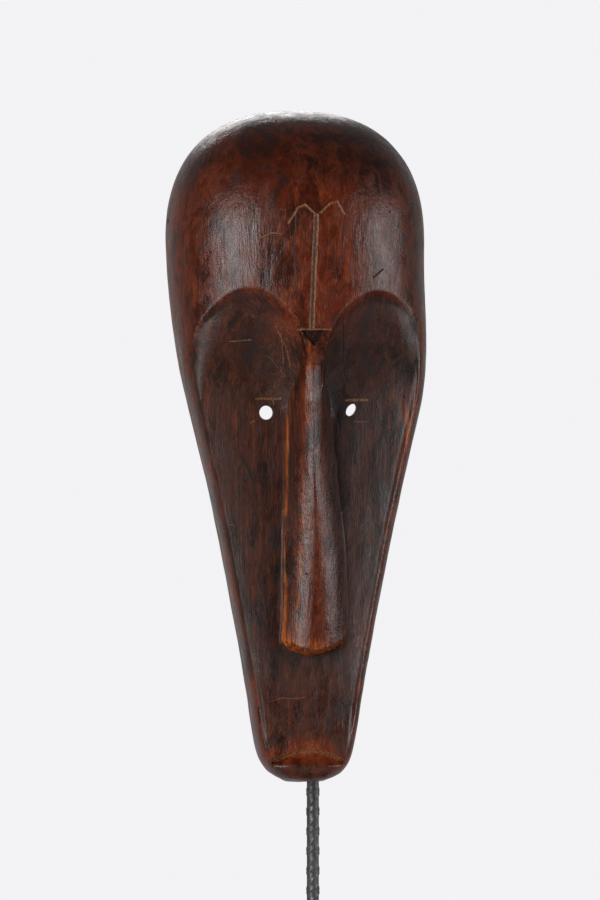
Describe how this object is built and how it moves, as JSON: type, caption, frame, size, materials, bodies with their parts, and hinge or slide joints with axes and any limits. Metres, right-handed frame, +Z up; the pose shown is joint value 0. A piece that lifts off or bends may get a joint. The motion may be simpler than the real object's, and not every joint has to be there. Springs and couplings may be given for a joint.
{
  "type": "carved face mask on a display stand",
  "caption": "Tall carved wooden face mask with arched brows, a long nose and pierced eyes, hollow at the back, hung on a steel rod stand.",
  "frame": {"origin": "middle of the stand's underside, on the table, under the rod's axis", "axes": "+Z up along the rod, the mask looks towards -Y, +X to the viewer's right"},
  "size_m": [0.216, 0.1883, 0.742],
  "materials": {
    "carved_wood": "dark red-brown hand-rubbed wood, satin, worn to orange on its edges",
    "old_iron": "dull rusted iron",
    "rod_steel": "black satin paint over a ribbed bar",
    "black_steel": "black satin powder coat",
    "zinc_steel": "zinc plated",
    "black_rubber": "matt black rubber",
    "dark_felt": "dark grey felt"
  },
  "bodies": {
    "base": {"base_felt": "dark_felt", "base_plate": "black_steel", "base_screw": "zinc_steel", "rod_socket": "black_steel", "socket_screw": "zinc_steel"},
    "rod": {"stand_rod": "rod_steel", "hanger_clamp": "black_steel", "hanger_clamp_rod_screw": "zinc_steel", "hanger_clamp_bar_screw": "zinc_steel", "rest_clamp": "black_steel", "rest_clamp_rod_screw": "zinc_steel", "rest_clamp_bar_screw": "zinc_steel", "hanger_bar": "black_steel", "prong_cap_left": "black_rubber", "prong_cap_right": "black_rubber", "rest_bar": "black_steel", "rest_sleeve_left": "black_rubber", "rest_sleeve_right": "black_rubber"},
    "mask": {"mask_body": "carved_wood", "temple_nail": "old_iron"}
  },
  "joints": [
    {"name": "rod_turn", "type": "hinge", "parent": "base", "child": "rod", "pos_m": [0, 0, 0.0463], "axis": [0, 0, 1], "continuous": true},
    {"name": "mask_lift", "type": "slide", "parent": "rod", "child": "mask", "axis": [0, -0.8192, 0.5736], "range_m": [0, 0.13]}
  ]
}
